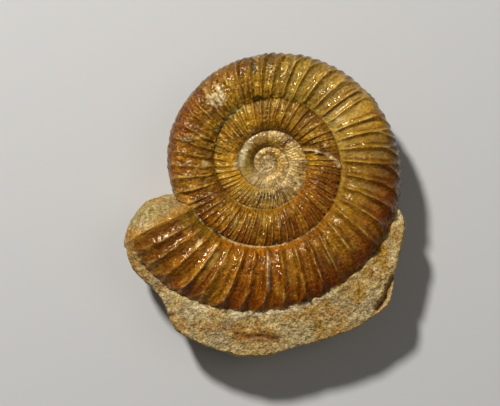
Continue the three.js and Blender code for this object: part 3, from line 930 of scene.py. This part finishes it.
def blockShape():
    edge = closedCurve(stone["outline"], stone["stations"])
    reach = np.hypot(edge[:, 0], edge[:, 1])
    bearing = np.arctan2(edge[:, 1], edge[:, 0])
    turn = coil["mouth"] + (np.degrees(bearing) - coil["mouth"]) % 360
    outer, half, widest = outerRadius(turn), halfThickness(turn), widestRadius(turn)
    bare = smooth(reach - outer, -1.5, 0.5)
    # where the stone meets the shell, and how high it stands there
    share = valueAt(turn, coil["stoneEdge"])
    across = np.clip((share * outer - widest) / (outer - widest), 0, 1)
    top = half * (1 - across ** coil["backPower"]) ** (1 / coil["backPower"])
    top = np.maximum(top + stone["creep"], stone["leastRise"])
    rim = mix(-stone["sunkDepth"] * half, np.minimum(stone["rimHeight"], top), bare)
    contact = mix(stone["sunkShare"] * reach, np.minimum(share * outer, reach - 0.2), bare)
    depth = stone["depth"]
    profile = [
        (stone["floorShare"] * reach, -depth + 0 * reach),
        ((stone["sideShare"] - stone["sideSlope"]) * reach, mix(-depth, rim, 0.1)),
        (stone["sideShare"] * reach, mix(-depth, rim, 0.3)),
        (reach, mix(-depth, rim, 0.66)),
        (reach - 0.1, mix(-depth, rim, 0.88)),
        (reach - stone["rimRound"] * smooth(reach - contact, 0, 3), rim),
        (mix(reach, contact, 0.55), mix(rim, top, 0.6 * bare)),
        (contact, mix(rim + 1, top, bare)),
        (contact - stone["tucked"], mix(rim + 1, top, bare)),
        (stone["sunkShare"] ** 2 * np.minimum(outer, reach), 0 * reach),
    ]
    rings = [np.stack([r * np.cos(bearing), r * np.sin(bearing), z], axis=1) for r, z in profile]
    return loft(rings, [(0, 0, -depth), (0, 0, 0)])


def awayFrom(line, points):  # seen from above
    away = np.full(len(points), 99.0)
    for a, b in zip(line[:-1], line[1:]):
        a, b = np.array(a), np.array(b)
        share = np.clip(((points[:, :2] - a) @ (b - a)) / ((b - a) @ (b - a)), 0, 1)
        away = np.minimum(away, np.linalg.norm(points[:, :2] - (a + share[:, None] * (b - a)), axis=1))
    return away


def fillShape():  # the mouth's outline, drawn in to a dome in front of it
    mouth = coil["mouth"]
    places = np.linspace(0, 2, 15)
    r, z = section(np.full(places.size, float(mouth)), places)
    ringR = np.r_[r, r[-2::-1]]
    ringZ = np.r_[z, -z[-2::-1]]
    centre = float(widestRadius(mouth))

    def direction(step):
        a = math.radians(mouth - stone["fillLength"] * step)
        return math.cos(a), math.sin(a)

    rings = []
    for step in stone["fillSteps"]:
        scale = (1 - max(step, 0)) ** (1 / stone["fillPower"])
        radius = mix(centre, ringR, scale)
        east, north = direction(step)
        rings.append(np.stack([radius * east, radius * north, stone["fillHeight"] * ringZ * scale], axis=1))
    ends = []
    for step in (1.0, stone["fillSteps"][-1]):
        east, north = direction(step)
        ends.append((centre * east, centre * north, 0))
    return loft(rings, ends)


def remeshed(parts, voxel):
    points, faces = [], []
    for partPoints, partFaces in parts:
        start = sum(len(p) for p in points)
        points.append(partPoints)
        faces += [[v + start for v in face] for face in partFaces]
    mesh = bpy.data.meshes.new("stone_rough")
    mesh.from_pydata(np.concatenate(points), [], faces)
    rough = bpy.data.objects.new("stone_rough", mesh)
    bpy.context.scene.collection.objects.link(rough)
    voxels = rough.modifiers.new("voxels", "REMESH")
    voxels.mode = "VOXEL"
    voxels.voxel_size = voxel
    relax = rough.modifiers.new("relax", "SMOOTH")
    relax.factor = 0.5
    relax.iterations = 3
    done = rough.evaluated_get(bpy.context.evaluated_depsgraph_get()).to_mesh()
    newPoints = np.empty(len(done.vertices) * 3)
    done.vertices.foreach_get("co", newPoints)
    normals = np.empty(len(done.vertices) * 3)
    done.vertices.foreach_get("normal", normals)
    newFaces = [list(face.vertices) for face in done.polygons]
    bpy.data.objects.remove(rough)
    return newPoints.reshape(-1, 3), normals.reshape(-1, 3), newFaces


def fillShare(points):  # 1 on the sediment in the mouth
    reach = np.hypot(points[:, 0], points[:, 1])
    inMouth = window(reach, *stone["fillReach"]) * smooth(points[:, 2], -1, 1.5)
    return inMouth * window(bearingOf(points) % 360, *stone["fillBearing"])


def shapeStone():
    points, normals, faces = remeshed([blockShape(), fillShape()], stone["voxel"])
    calm = 1 - 0.45 * fillShare(points)
    under = 1 - smooth(points[:, 2], -stone["depth"], -stone["depth"] + 1.2)
    lift = stone["lumps"] * roughLumps(points, 6.0, 3)
    lift = lift + stone["knobs"] * roughLumps(points, 1.9, 3, shift=4.0)
    lift = lift + stone["grains"] * roughLumps(points, 0.9, 2, keep=0.8, shift=8.0)
    byShell = 1 - smooth(np.abs(pastEdge(points)), 0.01, 0.05)
    lift = lift * (1 - 0.5 * byShell) + stone["teeth"] * byShell * roughLumps(points, 0.75, 2, shift=13.0)
    lift = lift * calm * (1 - 0.9 * under)
    sunk = 0
    for line, width, depth, name in stone["cracks"]:
        away = awayFrom(line, points) + 0.25 * roughLumps(points, 1.2, 2, shift=5.0)
        sunk = sunk + depth * np.exp(-((away / width) ** 2)) * smooth(points[:, 2], -3, 0)
    points = points + normals * lift[:, None]
    points[:, 2] -= sunk
    points[:, 2] = np.maximum(points[:, 2], -stone["depth"])
    return points, faces


def paintStone(points):
    bearing = bearingOf(points) % 360
    fill = fillShare(points)
    patches = roughLumps(points, 5.0, 4, shift=6.0)
    fine = roughLumps(points, 1.6, 3, shift=9.0)
    grains = roughLumps(points, 0.7, 3, shift=2.0)
    colours = blend(np.tile(tone("buff"), (len(points), 1)), "ochre", 0.6 * smooth(patches, 0.0, 0.35))
    colours = blend(colours, "ash", 0.75 * smooth(-patches, -0.02, 0.35))
    colours = blend(colours, "cream", 0.85 * fill)
    rim = smooth(bearing + 2.5 * fine, 203, 208.5)  # where the filling meets the mouth
    colours = blend(colours, "ochre", 0.8 * fill * rim)
    for x, y, along, across, name, strength in stone["stains"]:
        away = np.hypot((points[:, 0] - x) / along, (points[:, 1] - y) / across) + 0.6 * fine
        colours = blend(colours, name, strength * (1 - smooth(away, 0.5, 1.3)))
    colours = blend(colours, "bone", (0.7 - 0.4 * fill) * smooth(grains, 0.05, 0.45))
    # pale teeth on the edge against the shell, with painted light against the shell's shadow, and painted
    # shade as dark as the shell where it runs in under it
    teeth = (1 - smooth(pastEdge(points), 0.0, 0.05)) * (1 - fill)
    paleAndPaintedLight = 0.2 + 0.8 * window(bearing, *stone["paleBearing"])
    paleAndPaintedLight = paleAndPaintedLight * smooth(roughLumps(points, 2.2, 2, shift=31.0), -0.45, 0.1)
    colours = blend(colours, "chalk", 0.85 * paleAndPaintedLight * teeth * smooth(grains, -0.45, 0.1))
    tucked = 1 - smooth(pastEdge(points) + 0.012 * grains, -0.016, -0.006)
    tucked = tucked * smooth(points[:, 2], -3.5, -1.0)
    colours = blend(colours, "bark", 0.9 * tucked * (1 - fill))
    colours = blend(colours, "stain", 0.45 * smooth(-grains, 0.15, 0.55))
    side = window(points[:, 2], -7, -3, 0.6, 1.7)  # painted light: pale on the side below the rim
    colours = blend(colours, "bone", 0.6 * side * (1 - fill))
    # rust stain and painted shade in the cracks
    for line, width, depth, name in stone["cracks"]:
        colours = blend(colours, name, 0.75 * np.exp(-((awayFrom(line, points) / width) ** 2)))
    return colours * stone["light"]


print("shaping the stone")
stonePoints, stoneFaces = shapeStone()
matrix = makeObject("limestone_bed", stonePoints, stoneFaces, paintStone(stonePoints),
                    np.zeros(len(stonePoints)), np.ones(len(stonePoints)))


# Materials
def makeMaterial(name, settings):
    material = bpy.data.materials.new(name)
    material.use_nodes = True
    nodes, links = material.node_tree.nodes, material.node_tree.links
    shader = nodes["Principled BSDF"]
    place = nodes.new("ShaderNodeTexCoord").outputs["Object"]

    def attribute(name, output):
        node = nodes.new("ShaderNodeAttribute")
        node.attribute_name = name
        return node.outputs[output]

    def maths(operation, a, b):
        node = nodes.new("ShaderNodeMath")
        node.operation = operation
        for value, socket in zip((a, b), node.inputs):
            if isinstance(value, bpy.types.NodeSocket):
                links.new(value, socket)
            else:
                socket.default_value = value
        return node.outputs["Value"]

    def bumpOver(under, height, depth, strength):
        bump = nodes.new("ShaderNodeBump")
        bump.inputs["Distance"].default_value = depth * mm
        links.new(maths("MULTIPLY", grain, strength), bump.inputs["Strength"])
        links.new(height, bump.inputs["Height"])
        if under:
            links.new(under, bump.inputs["Normal"])
        return bump.outputs["Normal"]

    def speckle(size, detail, low, high, lowColour, highColour, place=place):
        texture = nodes.new("ShaderNodeTexNoise")
        texture.inputs["Scale"].default_value = 1 / (size * mm)
        texture.inputs["Detail"].default_value = detail
        ramp = nodes.new("ShaderNodeValToRGB")
        ramp.color_ramp.elements[0].position = low
        ramp.color_ramp.elements[1].position = high
        ramp.color_ramp.elements[0].color = (*lowColour, 1)
        ramp.color_ramp.elements[1].color = (*highColour, 1)
        links.new(place, texture.inputs["Vector"])
        links.new(texture.outputs["Fac"], ramp.inputs["Fac"])
        return texture.outputs["Fac"], ramp.outputs["Color"]

    grain = attribute("grain", "Fac")
    colour = attribute("paint", "Color")
    shades = [speckle(*speck)[1] for speck in settings["speckles"]]
    streaks = None
    if "streaks" in settings:
        stretch = nodes.new("ShaderNodeMapping")
        links.new(attribute("flow", "Vector"), stretch.inputs["Vector"])
        stretch.inputs["Scale"].default_value = [mm / size for size in settings["streakSize"]]
        streaks = speckle(1, *settings["streaks"], place=stretch.outputs["Vector"])
        shades.append(streaks[1])
    for shade in shades:
        mixer = nodes.new("ShaderNodeMix")
        mixer.data_type = "RGBA"
        mixer.blend_type = "MULTIPLY"
        links.new(grain, mixer.inputs["Factor"])
        links.new(colour, mixer.inputs["A"])
        links.new(shade, mixer.inputs["B"])
        colour = mixer.outputs["Result"]
    links.new(colour, shader.inputs["Base Color"])

    smoothest, roughest = ((value,) * 3 for value in settings["roughness"])
    rough = speckle(settings["roughSize"], 4, 0.35, 0.65, smoothest, roughest)[1]
    links.new(maths("ADD", rough, attribute("paint", "Alpha")), shader.inputs["Roughness"])
    normal = None
    for size, detail, depth, strength in settings["bumps"]:
        height = speckle(size, detail, 0, 1, (0, 0, 0), (1, 1, 1))[0]
        normal = bumpOver(normal, height, depth, strength)
    if streaks:
        normal = bumpOver(normal, streaks[0], *settings["streakBump"])
    links.new(normal, shader.inputs["Normal"])
    shader.inputs["Specular IOR Level"].default_value = settings["specular"]
    shader.inputs["Specular Tint"].default_value = (*settings["glint"], 1)
    return material


varnishedShell = {
    "speckles": [  # size mm, detail, where the ramp starts and ends, and its two colours
        (1.5, 6, 0.34, 0.66, (0.78, 0.73, 0.64), (1.18, 1.18, 1.14)),
        (0.45, 5, 0.36, 0.64, (0.6, 0.54, 0.45), (1.35, 1.35, 1.3)),
    ],
    "streakSize": (0.5, 2.2, 1.0),  # across the ribs, along them, mm
    "streaks": (3, 0.36, 0.64, (0.7, 0.62, 0.5), (1.28, 1.28, 1.25)),
    "streakBump": (0.14, 0.7),      # depth mm, strength
    "roughSize": 0.9,
    "roughness": (0.05, 0.19),
    "bumps": [(0.8, 2, 0.5, 0.8), (0.42, 1, 0.12, 0.8)],  # size mm, detail, depth mm, strength
    "specular": 0.42,
    "glint": (1.0, 0.78, 0.45),
}
granularStone = {
    "speckles": [
        (0.9, 6, 0.32, 0.68, (0.7, 0.64, 0.52), (1.2, 1.2, 1.15)),
        (0.4, 5, 0.36, 0.64, (0.56, 0.52, 0.44), (1.38, 1.38, 1.38)),
    ],
    "roughSize": 0.8,
    "roughness": (0.7, 0.95),
    "bumps": [(0.9, 4, 0.6, 0.8), (0.4, 3, 0.3, 0.8)],
    "specular": 0.25,
    "glint": (1.0, 0.9, 0.7),
}

print("making the materials")
for piece, node, slot, settings in (
    (shell, "ammonite", "fossil_shell", varnishedShell),
    (matrix, "matrix", "limestone", granularStone),
):
    piece.data.materials.append(makeMaterial(slot, settings))
    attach(piece, "root")
    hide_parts(node)

# Floor, light and camera
studio = {
    "floor": (0.5, 0.488, 0.468),
    "floorHeight": -0.05,         # mm
    "floorReach": 1.2,            # m, to either side
    "sky": (1, 0.98, 0.95),
    "skyStrength": 0.1,
    "view": (-2.88, 0.41, 12.0),  # middle of the picture, mm
    "width": 102.5,               # of the picture there, mm
    "distance": 380,              # of the camera above it, mm
    "sensor": 36,                 # width, mm
    "target": (0, 0, 0.01),       # of the lights, m
    "lights": [                   # direction it comes from, distance m, size m, power W
        ((-0.5, 0.8, 1.0), 0.6, 0.07, 4.6),
        ((0.8, 0.2, 1.3), 0.7, 0.4, 0.5),
    ],
}


def makeFloor():
    mesh = bpy.data.meshes.new("floor")
    half = studio["floorReach"]
    z = studio["floorHeight"] * mm
    corners = [(-half, -half, z), (half, -half, z), (half, half, z), (-half, half, z)]
    mesh.from_pydata(corners, [], [(0, 1, 2, 3)])
    floor = bpy.data.objects.new("floor", mesh)
    bpy.context.scene.collection.objects.link(floor)
    material = bpy.data.materials.new("pale_floor")
    material.use_nodes = True
    shader = material.node_tree.nodes["Principled BSDF"]
    shader.inputs["Base Color"].default_value = (*studio["floor"], 1)
    shader.inputs["Roughness"].default_value = 0.9
    mesh.materials.append(material)


def makeLights():
    for number, (direction, distance, size, power) in enumerate(studio["lights"]):
        data = bpy.data.lights.new(f"light_{number}", "AREA")
        data.shape = "DISK"
        data.size = size
        data.energy = power
        light = bpy.data.objects.new(f"light_{number}", data)
        along = np.array(direction) / np.linalg.norm(direction)
        light.location = np.array(studio["target"]) + along * distance
        light.rotation_euler = (math.acos(along[2]), 0, math.atan2(along[1], along[0]) + math.pi / 2)
        bpy.context.scene.collection.objects.link(light)
    world = bpy.data.worlds.new("studio")
    world.use_nodes = True
    sky = world.node_tree.nodes["Background"]
    sky.inputs["Color"].default_value = (*studio["sky"], 1)
    sky.inputs["Strength"].default_value = studio["skyStrength"]
    bpy.context.scene.world = world


def makeCamera():
    data = bpy.data.cameras.new("camera")
    data.sensor_width = studio["sensor"]
    data.lens = studio["sensor"] * studio["distance"] / studio["width"]
    data.clip_start = 0.01
    camera = bpy.data.objects.new("camera", data)
    x, y, z = studio["view"]
    camera.location = (x * mm, y * mm, (z + studio["distance"]) * mm)
    bpy.context.scene.collection.objects.link(camera)
    bpy.context.scene.camera = camera


print("setting the floor, the lights and the camera")
makeFloor()
makeLights()
makeCamera()
bpy.context.scene.view_settings.view_transform = "Standard"

for piece in (shell, matrix):
    triangles = sum(len(face.vertices) - 2 for face in piece.data.polygons)
    print(piece.name, len(piece.data.vertices), "points", triangles, "triangles")
